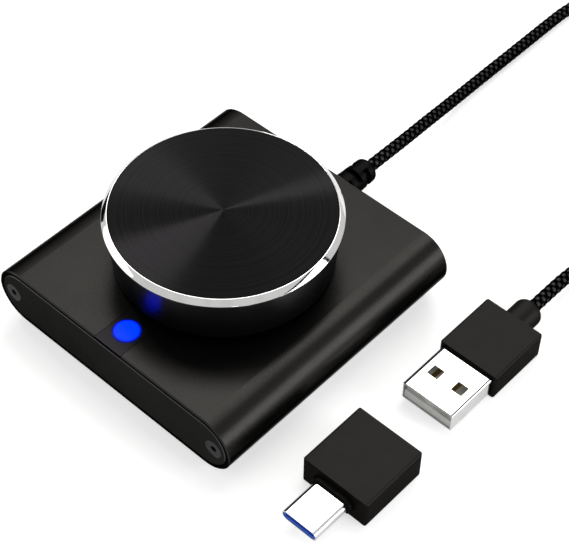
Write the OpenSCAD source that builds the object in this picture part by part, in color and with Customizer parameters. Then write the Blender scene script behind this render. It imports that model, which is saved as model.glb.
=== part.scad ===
// Desktop volume knob: an aluminium sleeve with a large rotary knob that also
// presses, a braided cord that ends in a USB-A plug, and a USB-C adapter.
// Frame: origin at the centre of the foot pad on the table, +Z up, the front
// plate faces -Y, the cord leaves the back towards +Y. Millimetres.

/* [Housing] */
// Width of the housing across X
body_w = 62.2; // [56:0.1:76]
// Depth of the housing along Y
body_d = 62.4; // [56:0.1:76]
// Height of the aluminium sleeve
body_h = 13; // [12.6:0.1:15.6]
// Wall of the sleeve
wall = 1.6; // [1.2:0.1:2]
// Rim of the sleeve left around each end plate
rim = 0.9; // [0.7:0.1:1.1]
// Bevel on the outer edges of the sleeve's ends
edge_bevel = 0.25; // [0.1:0.05:0.4]
// Thickness of the foot pad
pad_t = 1; // [0.6:0.1:2]
// Width of the foot pad across X
pad_w = 46; // [30:1:48]
// Depth of the foot pad along Y
pad_d = 54; // [30:1:55]
// Corner radius of the foot pad
pad_r = 4; // [1:0.5:8]

/* [End plates] */
// Thickness of the front and rear plates
plate_t = 1.2; // [0.8:0.1:2]
// Distance of each end screw from the housing's side
screw_inset = 4; // [3.7:0.1:7]
// Head diameter of the end screws
screw_head_d = 3.8; // [3:0.1:4]
// Thread diameter of the end screws
screw_d = 2; // [1.6:0.1:2.4]
// Length of the end screws
screw_l = 7; // [4:0.5:12]
// Width across flats of the screw sockets
screw_key = 1.3; // [0.9:0.1:1.5]

/* [Indicator] */
// Width of the indicator strip let into the top
strip_w = 6.8; // [6.4:0.1:8]
// Diameter of the light lens
lens_d = 5.7; // [4:0.1:6]
// Place of the lens on Y, from the front face
lens_inset = 5; // [4:0.1:7]
// Height that the lens bulges above the top face
lens_crown = 0.25; // [0.1:0.05:0.5]

/* [Knob] */
// Diameter over the bright ring of the knob
knob_d = 46.2; // [40:0.2:52]
// Height of the knob from its lower edge to its face
knob_h = 11.65; // [11.4:0.05:14]
// Gap between the housing's top and the knob's lower edge
knob_gap = 1; // [0.8:0.1:1.5]
// Diameter of the knob's side wall at the top
side_top_d = 45.2; // [39:0.2:51]
// Diameter of the knob's side wall at its lower edge
side_low_d = 43.5; // [38:0.1:50]
// Width of the bright ring's bevel
ring_bevel = 1; // [0.6:0.05:1.4]
// Height of the straight edge under the bevel
ring_edge = 0.5; // [0.3:0.05:0.8]
// Depth of the face below the ring's inner edge
face_drop = 0.08; // [0.05:0.01:0.2]
// Wall of the knob's shell
knob_wall = 2.2; // [1.5:0.1:3]
// Height that the knob moves when it is pressed
press_travel = 0.5; // [0.3:0.05:0.6]

/* [Encoder] */
// Diameter of the encoder's shaft
shaft_d = 6; // [5:0.1:6.1]
// Depth of the flat on the shaft
shaft_flat = 1.5; // [0.8:0.1:2]
// Diameter of the threaded bushing
bushing_d = 6.8; // [6.6:0.1:7.5]
// Height that the bushing stands above the housing's top
bushing_rise = 2; // [1.9:0.1:2.4]
// Side of the encoder's square body
encoder_w = 12; // [11:0.5:14]
// Thickness of the circuit board
board_t = 1; // [0.8:0.1:1.2]
// Width of the circuit board across X
board_w = 53.6; // [52:0.1:54]
// Length of the circuit board along Y
board_l = 45; // [42:0.5:50]

/* [Cord] */
// Diameter of the braided cord
cord_d = 2.85; // [2.4:0.05:2.85]
// Height of the cord's exit above the table
cord_z = 5.5; // [5:0.1:7]
// Length of the strain relief outside the rear plate
relief_l = 12.2; // [10:0.1:18]
// Diameter of the strain relief at the rear plate
relief_d = 6.2; // [5.6:0.1:6.6]
// Diameter of the strain relief at its free end
relief_end_d = 5.5; // [5:0.1:5.6]
// Turns of the stored coil
coil_turns = 13.25; // [9.25:1:17.25]
// Distance between neighbouring turns and layers of the coil
coil_pitch = 3.3; // [3.3:0.05:3.6]
// Mean radius of the coil
coil_r = 16; // [15:0.5:18]

/* [Plug] */
// Distance of the plug and the adapter from the middle, on X
plug_x = 47.5; // [45:0.1:60]
// Width of the plug's overmould
mould_w = 13.7; // [13:0.1:16]
// Thickness of the plug's overmould
mould_h = 6.2; // [6:0.1:7]
// Length of the plug's overmould
mould_l = 14.5; // [12:0.5:25]
// Front face of the overmould on Y
mould_y = 17.3; // [10:0.1:20]
// Diameter of the collar where the cord enters the overmould
mould_collar_d = 6.1; // [5.6:0.1:6.2]
// Length of that collar
mould_collar_l = 6.1; // [5:0.1:9]
// Width of the USB-A shell
usb_a_w = 12; // [11.9:0.05:12.1]
// Thickness of the USB-A shell
usb_a_h = 4.5; // [4.4:0.05:4.6]
// Length of the USB-A shell outside the overmould
usb_a_l = 12.1; // [11.5:0.1:12.5]
// Sheet thickness of the connector shells
sheet = 0.3; // [0.2:0.05:0.35]

/* [Adapter] */
// Width of the adapter's housing
adapter_w = 15.4; // [14.4:0.1:18]
// Thickness of the adapter's housing
adapter_h = 6.8; // [6.6:0.1:8]
// Length of the adapter's housing
adapter_l = 15.5; // [15:0.1:20]
// Rear face of the adapter on Y, where its socket opens
adapter_y = -5.6; // [-8:0.1:-5]
// Width of the opening in the adapter's socket
socket_w = 12.5; // [12.4:0.05:12.6]
// Height of the opening in the adapter's socket
socket_h = 5; // [4.9:0.05:5.1]
// Width of the USB-C shell
usb_c_w = 8.25; // [8.2:0.05:8.3]
// Thickness of the USB-C shell
usb_c_h = 2.4; // [2.35:0.05:2.45]
// Length of the USB-C shell outside the adapter's boss
usb_c_l = 8.5; // [6.2:0.1:9]
// Length of the boss around the USB-C shell
boss_l = 0.9; // [0.5:0.1:1.5]

/* [Hidden] */
$fn = 64;
eps = 0.01;
// Gap between neighbouring fixed pieces
seat = 0.05;
// Gap between pieces that move past each other
slip = 0.3;
// Radial clearance of the turning shaft
running = 0.03;

// Heights of the housing
sleeve_z = pad_t;
mid_z = sleeve_z + body_h / 2;
top_z = sleeve_z + body_h;
floor_z = sleeve_z + wall;
roof_z = top_z - wall;
half_d = body_d / 2;
screw_x = body_w / 2 - screw_inset;
plate_w = body_w - 2 * rim - 2 * seat;
plate_h = body_h - 2 * rim - 2 * seat;
strip_slot_w = strip_w + 4 * seat;
lens_y = -half_d + lens_inset;

// Board and encoder
channel_d = 4.4;
board_z = floor_z + 1.25;
board_top = board_z + board_t;
board_y = -half_d + plate_t + 2 * seat + board_l / 2;
bracket_t = 0.3;
collar_t = 0.7;
collar_d = bushing_d + 2.8;
bracket_z = roof_z - collar_t - bracket_t;
dome_t = 0.3;
dome_leaf = 0.1;
flange_t = 0.3;
well_d = 5.6;
well_z = board_top + 0.35;
plunger_z = well_z + dome_t + press_travel + seat;
base_top = plunger_z + flange_t + seat;
plunger_d = 3;
web_t = 0.7;
rotor_t = 1.2;
rotor_d = 9.2;
cavity_d = rotor_d + 2 * slip;
rotor_z = base_top + web_t + press_travel + slip;
plunger_top = rotor_z - seat;
spring_t = 0.2;
bushing_top = top_z + bushing_rise;
washer_t = 0.4;
nut_t = bushing_rise - washer_t - 0.2;
clip_t = 0.4;
clip_z = bushing_top + press_travel + 0.1;

// Knob levels
knob_z = top_z + knob_gap;
face_z = knob_z + knob_h;
ring_z = face_z - ring_bevel * 0.95;
cap_z = ring_z - ring_edge;
web_z = cap_z - 1.6;
hub_flange_z = web_z - 1.5;
hub_low_z = clip_z + clip_t + slip;
hub_d = shaft_d + 5;
shaft_top = web_z - 0.1;
cup_r = side_low_d / 2 - knob_wall;

// Cord exit, plug and adapter
plug_z = mould_h / 2;
exit_y = half_d + relief_l;
collar_end = mould_y + mould_l + mould_collar_l;
tip_y = mould_y - usb_a_l;
tongue_h = 1.85;
shell_low = plug_z - usb_a_h / 2 + sheet;
contact_t = 0.12;
front_y = adapter_y - adapter_l;
liner_t = 0.25;
socket_l = usb_a_l + 0.6;
insulator_t = 0.8;
mate_t = 1.3;
mate_mid = (shell_low + tongue_h + plug_z + usb_a_h / 2 - sheet) / 2;
usb_c_tip = front_y - boss_l - usb_c_l;

// Coil: place, radii and height of its first layer
coil_at = [42, 109];
coil_span = (coil_turns / 4) * coil_pitch;
coil_out = coil_r + coil_span / 2;
coil_in = coil_r - coil_span / 2;
tie_t = 0.6;
tie_w = 6;
coil_low = tie_t + seat + cord_d / 2;
coil_top = coil_low + 3 * coil_pitch;
ring_steps = 24;

// The free stretches of the cord, from the housing to the coil and from the
// coil to the plug. Their first and last points meet the pieces beside them.
out_route = [
    [0, exit_y, cord_z],
    [0, exit_y + 3.7, cord_z],
    [-0.1, exit_y + 9.7, 5.2],
    [-0.45, exit_y + 15.7, 4.6],
    [-0.95, exit_y + 21.7, 3.8],
    [-1.45, 72, 2.9],
    [-1.95, 78, 2.1],
    [-2.25, 84, 1.65],
    [-2.35, 90, 1.45],
    [-2.35, 97, 1.45],
    [-2.35, 104, 1.45],
    [-2.35, 111, 1.45],
    [-2.2, 117, 1.45],
    [-1.2, 122.6, 1.45],
    [1.4, 126.6, 1.45],
    [5.4, 129.2, 1.45],
    [11, 130.2, 1.45],
    [18, 130.4, 1.5],
    [25, coil_at[1] + coil_out, 1.8],
    [32, coil_at[1] + coil_out, coil_low],
    [coil_at[0] - cord_d, coil_at[1] + coil_out, coil_low]
];
in_route = [
    [coil_at[0] + coil_out, coil_at[1] - cord_d, coil_top],
    [coil_at[0] + coil_out, coil_at[1] - 7, coil_top],
    [63, 97, 11.2],
    [61.8, 91.5, 9.7],
    [59.7, 86, 7.6],
    [56.9, 80.5, 5.4],
    [53.8, 75, 3.5],
    [51, 69, 2.2],
    [49, 63, 1.6],
    [47.9, 57, 1.8],
    [47.6, 52, 2.4],
    [plug_x, 48.5, 2.8],
    [plug_x, 45.5, 3],
    [plug_x, collar_end + 3, plug_z],
    [plug_x, collar_end, plug_z]
];

// ---------- shared shapes ----------

// A flat outline with fully round ends, as wide as w and as high as h.
module stadium(w, h) {
    square([w - h, h], center = true);
    for (side = [-1, 1])
        translate([side * (w - h) / 2, 0]) circle(d = h, $fn = 96);
}

// A rectangle with rounded corners, centred.
module rounded(w, h, r) {
    square([w - 2 * r, h], center = true);
    square([w, h - 2 * r], center = true);
    for (sx = [-1, 1], sy = [-1, 1])
        translate([sx * (w / 2 - r), sy * (h / 2 - r)]) circle(r = r, $fn = 32);
}

// Extrudes an X-Z outline from y0 to y1.
module along_y(y0, y1) {
    translate([0, y1, 0]) rotate([90, 0, 0]) linear_extrude(y1 - y0) children();
}

// A round-ended bar along Y with bevelled rims at the chosen ends.
module bar_y(w, h, y0, y1, low_bevel, high_bevel) {
    translate([-(w - h) / 2, 0, 0]) rotate([90, 0, 90])
        linear_extrude(w - h) polygon([
            [y0 + low_bevel, -h / 2], [y1 - high_bevel, -h / 2],
            [y1, -h / 2 + high_bevel], [y1, h / 2 - high_bevel],
            [y1 - high_bevel, h / 2], [y0 + low_bevel, h / 2],
            [y0, h / 2 - low_bevel], [y0, -h / 2 + low_bevel]
        ]);
    for (side = [-1, 1])
        translate([side * (w - h) / 2, 0, 0]) rotate([-90, 0, 0])
            rotate_extrude($fn = 96) polygon([
                [0, y0], [h / 2 - low_bevel, y0], [h / 2, y0 + low_bevel],
                [h / 2, y1 - high_bevel], [h / 2 - high_bevel, y1], [0, y1]
            ]);
}

// A cylinder along Y from y0 to y1.
module rod_y(d, y0, y1) {
    translate([0, y0, 0]) rotate([-90, 0, 0]) cylinder(d = d, h = y1 - y0);
}

// A box from its low corner to its high corner.
module block(low, high) {
    translate(low) cube(high - low);
}

// A ring between two heights.
module ring(outer, inner, z0, z1) {
    translate([0, 0, z0]) difference() {
        cylinder(d = outer, h = z1 - z0);
        translate([0, 0, -1]) cylinder(d = inner, h = z1 - z0 + 2);
    }
}

// ---------- swept tube ----------

function unit(v) = v / norm(v);

// Direction of the path at each point; the ends follow their own segment.
function heading(path, i) =
    let (last = len(path) - 1)
    unit(path[min(i + 1, last)] - path[max(i - 1, 0)]);

function tube_points(path, r, sides) = [
    for (i = [0:len(path) - 1])
        let (
            t = heading(path, i),
            across = unit(cross(t, [0, 0, 1])),
            up = cross(across, t)
        )
        for (k = [0:sides - 1])
            let (a = 360 * (k + 0.5) / sides)
            path[i] + r * cos(a) * across + r * sin(a) * up
];

function tube_faces(rings, sides) = concat(
    [[for (k = [0:sides - 1]) k]],
    [[for (k = [sides - 1:-1:0]) (rings - 1) * sides + k]],
    [for (i = [0:rings - 2], k = [0:sides - 1])
        let (a = i * sides + k, b = i * sides + (k + 1) % sides)
        [a, a + sides, b]],
    [for (i = [0:rings - 2], k = [0:sides - 1])
        let (a = i * sides + k, b = i * sides + (k + 1) % sides)
        [b, a + sides, b + sides]]
);

module tube(path, d, sides) {
    polyhedron(tube_points(path, d / 2, sides), tube_faces(len(path), sides));
}

// ---------- coil ----------

function ease(u) = (1 - cos(180 * max(0, min(1, u)))) / 2;

// Radius after t turns: in, out, in and out again at one steady rate.
function coil_radius(t) =
    let (s = 4 * t / coil_turns, k = min(3, floor(s)), u = s - k)
    k % 2 == 0 ? coil_out - coil_span * u : coil_in + coil_span * u;

// Height after t turns: one layer up in the half turn around each reversal.
function coil_height(t) = coil_low + coil_pitch * (
    ease(2 * (t - coil_turns / 4) + 0.5)
    + ease(2 * (t - coil_turns / 2) + 0.5)
    + ease(2 * (t - 3 * coil_turns / 4) + 0.5)
);

function coil_point(t) = [
    coil_at[0] + coil_radius(t) * sin(360 * t),
    coil_at[1] + coil_radius(t) * cos(360 * t),
    coil_height(t)
];

coil_rings = round(coil_turns * ring_steps);
coil_loops = [for (i = [0:coil_rings]) coil_point(i / ring_steps)];
coil_path = concat(
    [out_route[len(out_route) - 1]],
    coil_loops,
    [in_route[0]]
);

function path_length(path) =
    [for (i = 1, l = norm(path[1] - path[0]); i < len(path);
        i = i + 1, l = i < len(path) ? l + norm(path[i] - path[i - 1]) : l)
        if (i == len(path) - 1) l][0];

// Least distance between the surfaces of two turns of the coil.
function coil_gap() = min([
    for (i = [0:coil_rings], j = [i + ring_steps / 2:coil_rings])
        norm(coil_loops[i] - coil_loops[j])
]) - cord_d;

// ---------- housing ----------

module base_pad() {
    color([0.07, 0.07, 0.07])
        linear_extrude(pad_t) rounded(pad_w, pad_d, pad_r);
}

// The extruded sleeve: screw channels and board ledges run along its inside,
// and a slot in its top lets the encoder's bushing slide in from the front.
module housing_sleeve() {
    web_l = screw_inset - wall / 2;
    color([0.16, 0.16, 0.16])
        difference() {
            translate([0, 0, mid_z])
                bar_y(body_w, body_h, -half_d, half_d, edge_bevel, edge_bevel);
            translate([0, 0, mid_z]) along_y(-half_d - 1, half_d + 1)
                difference() {
                    stadium(body_w - 2 * wall, body_h - 2 * wall);
                    for (side = [-1, 1]) {
                        translate([side * screw_x, 0]) circle(d = channel_d);
                        translate([side * (screw_x + web_l / 2), 0])
                            square([web_l, channel_d - 0.8], center = true);
                        translate([side * (board_w / 2 - 0.5), -body_h / 2])
                            square([2, 2 * (board_z - seat - sleeve_z)],
                                center = true);
                    }
                }
            for (side = [-1, 1])
                translate([side * screw_x, 0, mid_z])
                    rod_y(screw_d, -half_d - 1, half_d + 1);
            for (side = [-1, 1])
                translate([0, side * (half_d - plate_t / 2 + 1), mid_z])
                    along_y(-plate_t / 2 - 1, plate_t / 2 + 1)
                        stadium(body_w - 2 * rim, body_h - 2 * rim);
            block([-strip_slot_w / 2, -half_d - 1, roof_z - 1],
                [strip_slot_w / 2, 0, top_z + 1]);
            translate([0, 0, roof_z - 1])
                cylinder(d = strip_slot_w, h = wall + 2);
        }
}

// An end plate that sits inside the sleeve's rim. facing is -1 at the front
// and 1 at the back.
module end_plate(facing) {
    y0 = facing < 0 ? -half_d : half_d - plate_t;
    low_bevel = facing < 0 ? edge_bevel : 0;
    high_bevel = facing < 0 ? 0 : edge_bevel;
    sink = (screw_head_d - screw_d) / 2;
    difference() {
        translate([0, 0, mid_z])
            bar_y(plate_w, plate_h, y0, y0 + plate_t, low_bevel, high_bevel);
        for (side = [-1, 1])
            translate([side * screw_x, facing * half_d, mid_z])
                rotate([-90 * facing, 0, 0]) translate([0, 0, -plate_t - 1]) {
                    cylinder(d = screw_d + 0.4, h = plate_t + 2);
                    translate([0, 0, plate_t + 1 - sink - seat])
                        cylinder(d1 = screw_d + 0.2,
                            d2 = screw_head_d + 0.2, h = sink + seat + eps);
                }
    }
}

module front_plate() {
    color([0.12, 0.12, 0.12]) end_plate(-1);
}

module rear_plate() {
    color([0.12, 0.12, 0.12])
        difference() {
            end_plate(1);
            translate([0, 0, cord_z])
                rod_y(relief_d - 1.2, half_d - plate_t - 1, half_d + 1);
        }
}

// Countersunk socket screws of one end plate.
module end_screws(facing) {
    sink = (screw_head_d - screw_d) / 2;
    color([0.1, 0.1, 0.1])
        for (side = [-1, 1])
            translate([side * screw_x, facing * half_d, mid_z])
                rotate([-90 * facing, 0, 0]) difference() {
                    union() {
                        translate([0, 0, -screw_l])
                            cylinder(d = screw_d - seat, h = screw_l - sink + eps);
                        translate([0, 0, -sink])
                            cylinder(d1 = screw_d - seat, d2 = screw_head_d,
                                h = sink - seat);
                    }
                    translate([0, 0, -0.9])
                        cylinder(d = screw_key / cos(30), h = 1, $fn = 6);
                }
}

module front_screws() {
    end_screws(-1);
}

module rear_screws() {
    end_screws(1);
}

// The filler of the top slot: flush with the top, stepped over the front
// plate, held from below by a flange and hollowed around the bushing.
module indicator_strip() {
    strip_end = -bushing_d / 2 - 4 * seat;
    flange_end = -collar_d / 2 - 1.6;
    color([0.14, 0.13, 0.14])
        difference() {
            union() {
                block([-strip_w / 2, -half_d, top_z - rim],
                    [strip_w / 2, strip_end + 1.5, top_z]);
                block([-strip_w / 2, -half_d + plate_t + seat, roof_z - seat],
                    [strip_w / 2, strip_end + 1.5, top_z]);
                block([-strip_w / 2 - 1.4, -half_d + plate_t + seat,
                    roof_z - 0.6], [strip_w / 2 + 1.4, flange_end, roof_z]);
            }
            translate([0, 0, roof_z - 1])
                cylinder(d = -2 * strip_end, h = wall + 2);
            translate([0, 0, roof_z - 1])
                cylinder(d = collar_d + 4 * seat, h = 1 + seat);
            translate([0, lens_y, roof_z - 1])
                cylinder(d = lens_d + 2 * seat, h = wall + 2);
        }
}

// A domed lens with a light guide that reaches down to the lamp.
module led_lens() {
    crown_r = (pow(lens_d / 2, 2) + pow(lens_crown, 2)) / (2 * lens_crown);
    color([0.05, 0.2, 1])
        translate([0, lens_y, 0]) {
            intersection() {
                translate([0, 0, roof_z - 0.6])
                    cylinder(d = lens_d, h = wall + 2);
                translate([0, 0, top_z + lens_crown - crown_r])
                    sphere(r = crown_r, $fn = 128);
            }
            translate([0, 0, board_top + 2.5])
                cylinder(d = 3.6, h = roof_z - board_top - 3);
        }
}

// ---------- board ----------

module main_board() {
    color([0.05, 0.25, 0.12])
        difference() {
            block([-board_w / 2, board_y - board_l / 2, board_z],
                [board_w / 2, board_y + board_l / 2, board_top]);
            for (at = pin_places())
                translate([at[0], at[1], board_z - 1])
                    cylinder(d = 1.2, h = board_t + 2);
            for (side = [-1, 1])
                block([side * (encoder_w / 2 + bracket_t / 2) - 0.4, -1.3,
                    board_z - 1], [side * (encoder_w / 2 + bracket_t / 2) + 0.4,
                    1.3, board_top + 1]);
        }
}

module status_led() {
    color([0.9, 0.9, 0.85])
        translate([0, lens_y, board_top]) {
            block([-1.6, -1.4, 0], [1.6, 1.4, 1.2]);
            cylinder(d = 2.4, h = 1.9);
        }
}

// The controller in its flat package, with legs along both long sides.
module controller_chip() {
    leg_pitch = 1.27;
    legs = 4;
    color([0.1, 0.1, 0.11])
        translate([15, -14, board_top]) {
            block([-2, -2.9, 0.15], [2, 2.9, 1.5]);
            for (side = [-1, 1], i = [0:legs - 1])
                translate([side * 2.4, (i - (legs - 1) / 2) * leg_pitch, 0.35])
                    cube([1.2, 0.42, 0.7], center = true);
        }
}

module crystal_can() {
    color([0.75, 0.75, 0.76])
        translate([15, -5, board_top])
            linear_extrude(3.4) rounded(10.2, 4, 1.9);
}

// Chip capacitors and resistors around the controller and the lamp.
module chip_passives() {
    color([0.55, 0.42, 0.3])
        for (at = [[8.5, -17], [8.5, -14], [8.5, -11], [21.5, -16], [21.5, -12],
            [-5, -24], [-8, -24]])
            translate([at[0], at[1], board_top + 0.3])
                cube([1.6, 0.8, 0.6], center = true);
}

// Three encoder terminals in front and two switch terminals behind.
function pin_places() = concat(
    [for (i = [-1:1]) [2.5 * i, -encoder_w / 2 + 1.1]],
    [for (i = [-1, 1]) [2.5 * i, encoder_w / 2 - 1.1]]
);

// ---------- encoder ----------

module encoder_pins() {
    color([0.8, 0.78, 0.72])
        for (at = pin_places())
            translate([at[0], at[1], board_z - 0.6])
                cylinder(d = 0.9, h = board_t + 0.6);
}

// The lower half of the encoder, with the well of its push switch.
module encoder_base() {
    color([0.25, 0.22, 0.2])
        difference() {
            block([-encoder_w / 2, -encoder_w / 2, board_top],
                [encoder_w / 2, encoder_w / 2, base_top]);
            translate([0, 0, well_z]) cylinder(d = well_d, h = 5);
        }
}

// The upper half, which guides the plunger and holds the turning contact.
module encoder_body() {
    color([0.12, 0.12, 0.13])
        difference() {
            block([-encoder_w / 2, -encoder_w / 2, base_top],
                [encoder_w / 2, encoder_w / 2, bracket_z]);
            translate([0, 0, base_top - 1])
                cylinder(d = plunger_d + 0.2, h = web_t + 2);
            translate([0, 0, base_top + web_t])
                cylinder(d = cavity_d, h = bracket_z - base_top - web_t - 0.6);
            translate([0, 0, bracket_z - 1])
                cylinder(d = shaft_d + 0.4, h = 2);
        }
}

// The sheet-metal frame over the encoder, with a leg through the board on
// each side.
module encoder_bracket() {
    half = encoder_w / 2;
    color([0.72, 0.72, 0.7])
        difference() {
            union() {
                block([-half - bracket_t, -half + 0.2, bracket_z],
                    [half + bracket_t, half - 0.2, bracket_z + bracket_t]);
                for (side = [-1, 1])
                    block([side * (half + bracket_t / 2) - bracket_t / 2, -1,
                        board_z - 0.6],
                        [side * (half + bracket_t / 2) + bracket_t / 2, 1,
                        bracket_z + eps]);
            }
            translate([0, 0, bracket_z - 1])
                cylinder(d = shaft_d + 0.4, h = 3);
        }
}

module encoder_bushing() {
    color([0.78, 0.78, 0.78])
        translate([0, 0, roof_z - collar_t]) difference() {
            union() {
                cylinder(d = collar_d, h = collar_t);
                cylinder(d = bushing_d, h = bushing_top - roof_z + collar_t - 0.3);
                translate([0, 0, bushing_top - roof_z + collar_t - 0.3])
                    cylinder(d1 = bushing_d, d2 = bushing_d - 0.6, h = 0.3);
            }
            translate([0, 0, -1])
                cylinder(d = shaft_d + 2 * running, h = bushing_top - roof_z + 4);
        }
}

module bushing_washer() {
    color([0.7, 0.7, 0.7])
        ring(bushing_d + 4.4, bushing_d + 0.2, top_z, top_z + washer_t);
}

module bushing_nut() {
    color([0.76, 0.76, 0.74])
        translate([0, 0, top_z + washer_t]) difference() {
            cylinder(d = (bushing_d + 3.2) / cos(30), h = nut_t, $fn = 6);
            translate([0, 0, -1]) cylinder(d = bushing_d + seat, h = nut_t + 2);
        }
}

// The snap dome of the push switch: a thin arched shell, one revolved outline.
module switch_dome() {
    dome_d = well_d - 0.2;
    dome_r = (pow(dome_d / 2, 2) + pow(dome_t, 2)) / (2 * dome_t);
    inner_r = dome_r - dome_leaf;
    outer_a = asin(dome_d / 2 / dome_r);
    inner_a = acos((dome_r - dome_t) / inner_r);
    steps = 8;
    color([0.85, 0.82, 0.7])
        translate([0, 0, well_z + dome_t - dome_r])
            rotate_extrude() polygon(concat(
                [for (i = [0:steps]) let (a = outer_a * i / steps)
                    dome_r * [sin(a), cos(a)]],
                [for (i = [steps:-1:0]) let (a = inner_a * i / steps)
                    inner_r * [sin(a), cos(a)]]
            ));
}

// A flat spring ring against the cavity's roof, which gives the clicks.
module detent_spring() {
    roof = bracket_z - 0.6;
    color([0.8, 0.78, 0.7]) ring(cavity_d - 0.2, shaft_d + 1.4, roof - spring_t, roof);
}

// ---------- pieces that move with the knob ----------

module switch_plunger() {
    color([0.9, 0.9, 0.9]) {
        translate([0, 0, plunger_z]) cylinder(d = well_d - 0.8, h = flange_t);
        translate([0, 0, plunger_z]) cylinder(d = plunger_d, h = plunger_top - plunger_z);
    }
}

module encoder_rotor() {
    color([0.85, 0.84, 0.8])
        difference() {
            union() {
                translate([0, 0, rotor_z]) cylinder(d = rotor_d, h = rotor_t);
                for (a = [0:30:330])
                    rotate(a) translate([rotor_d / 2 - 0.9, 0, rotor_z + rotor_t])
                        cylinder(d = 0.8, h = 0.25);
            }
            translate([0, 0, rotor_z + seat])
                cylinder(d = shaft_d - 1.5 + 2 * seat, h = rotor_t + 1);
        }
}

// The shaft: stepped foot in the rotor, groove for the clip, flat at the top.
module encoder_shaft() {
    foot_z = rotor_z + 2 * seat;
    color([0.8, 0.8, 0.8])
        difference() {
            union() {
                translate([0, 0, foot_z]) cylinder(d = shaft_d - 1.5, h = rotor_t);
                translate([0, 0, rotor_z + rotor_t + seat])
                    cylinder(d = shaft_d, h = shaft_top - rotor_z - rotor_t - 0.45);
                translate([0, 0, shaft_top - 0.4])
                    cylinder(d1 = shaft_d, d2 = shaft_d - 0.8, h = 0.4);
            }
            ring(shaft_d + 2, shaft_d - 1, clip_z - seat, clip_z + clip_t + seat);
            block([shaft_d / 2 - shaft_flat, -shaft_d, hub_low_z],
                [shaft_d, shaft_d, shaft_top + 1]);
        }
}

// The open retaining clip in the shaft's groove.
module shaft_clip() {
    color([0.6, 0.6, 0.6])
        difference() {
            ring(shaft_d + 2.4, shaft_d - 0.9, clip_z, clip_z + clip_t);
            block([0, -shaft_d * 0.3, clip_z - 1], [shaft_d, shaft_d * 0.3, clip_z + 1]);
        }
}

// The moulded insert that joins the shaft to the knob's shell, with ribs.
module knob_hub() {
    flange_r = cup_r - 0.15;
    rib_low = (hub_low_z + hub_flange_z) / 2;
    color([0.13, 0.13, 0.14])
        difference() {
            union() {
                translate([0, 0, hub_flange_z])
                    cylinder(r = flange_r, h = web_z - hub_flange_z, $fn = 96);
                translate([0, 0, hub_low_z])
                    cylinder(d = hub_d, h = web_z - hub_low_z);
                for (a = [0:60:300])
                    rotate(a) block([hub_d / 2 - 1, -0.6, rib_low],
                        [flange_r - 0.5, 0.6, hub_flange_z + eps]);
                ring(2 * flange_r, 2 * flange_r - 2.4, rib_low, hub_flange_z + eps);
            }
            difference() {
                translate([0, 0, hub_low_z - 1])
                    cylinder(d = shaft_d + 2 * seat, h = shaft_top - hub_low_z + 1 + seat);
                block([shaft_d / 2 - shaft_flat + seat, -shaft_d, hub_low_z - 2],
                    [shaft_d, shaft_d, web_z]);
            }
        }
}

// The tapered aluminium shell of the knob, open below, one revolved outline.
module knob_shell() {
    low_r = side_low_d / 2;
    color([0.08, 0.08, 0.08])
        rotate_extrude($fn = 128) polygon([
            [0, web_z], [cup_r, web_z], [cup_r, knob_z + 0.3],
            [cup_r + 0.3, knob_z], [low_r - 0.4, knob_z],
            [low_r, knob_z + 0.4], [side_top_d / 2, cap_z], [0, cap_z]
        ]);
}

// The top disc with its bright bevelled ring and its sunk face.
module knob_cap() {
    ring_r = knob_d / 2;
    face_r = ring_r - ring_bevel;
    color([0.1, 0.1, 0.11])
        rotate_extrude($fn = 128) polygon([
            [0, cap_z], [ring_r - 0.15, cap_z], [ring_r, cap_z + 0.15],
            [ring_r, ring_z], [face_r, face_z], [face_r - 0.12, face_z],
            [face_r - 0.12 - face_drop, face_z - face_drop], [0, face_z - face_drop]
        ]);
}

// ---------- cord, strain relief and plug ----------

// A moulded bend relief that tapers outwards. Slots cut from two sides at a
// time, a quarter turn from one to the next, let it bend, and a flange holds
// it inside the rear plate.
module strain_relief() {
    r = relief_d / 2;
    tail_r = relief_end_d / 2;
    neck = r - 0.65;
    inside_r = min(r, cord_z - floor_z - 2 * seat);
    core_d = cord_d + 0.9;
    nose_r = 1.1;
    shoulder = 2;
    slot_w = 1.4;
    slot_pitch = 2.6;
    bridge = 2.4;
    end_l = 2.8;
    slots = floor((relief_l - end_l) / slot_pitch);
    color([0.08, 0.08, 0.08])
        translate([0, half_d, cord_z]) rotate([-90, 0, 0]) difference() {
            rotate_extrude() polygon(concat(
                [[0, -plate_t - 1.5], [inside_r, -plate_t - 1.5],
                    [inside_r, -plate_t - seat], [neck, -plate_t - seat],
                    [neck, seat], [r, seat], [r, shoulder]],
                [for (a = [0:18:90]) [tail_r - nose_r * (1 - cos(a)),
                    relief_l - nose_r * (1 - sin(a))]],
                [[0, relief_l]]
            ));
            for (i = [0:slots - 1])
                translate([0, 0, relief_l - end_l - i * slot_pitch])
                    rotate(90 * i) difference() {
                        ring(relief_d + 2, core_d, -slot_w / 2, slot_w / 2);
                        cube([bridge, relief_d + 4, 2 * slot_w], center = true);
                    }
        }
}

// The cord's jacket behind the rear plate.
module inner_jacket() {
    color([0.06, 0.06, 0.06])
        translate([0, 0, cord_z])
            rod_y(cord_d, half_d - plate_t - 5.5, half_d - plate_t - 1.5);
}

wire_pitch = 1.25;
wire_colours = ["red", "white", "green", "black"];
socket_y = board_y + board_l / 2 - 2.6;
wire_z = board_top + 1.8;

// Four cores that fan out from the jacket to the crimp housing.
module cord_wires() {
    start_y = half_d - plate_t - 5.5;
    end_y = socket_y + 4.2;
    for (i = [0:3]) {
        start = [(i - 1.5) * 0.62, start_y - seat, cord_z];
        end = [(i - 1.5) * wire_pitch, end_y + seat, wire_z];
        span = end - start;
        color(wire_colours[i])
            translate(start)
                rotate([0, acos(span[2] / norm(span)), atan2(span[1], span[0])])
                    cylinder(d = 0.56, h = norm(span), $fn = 24);
    }
}

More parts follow.
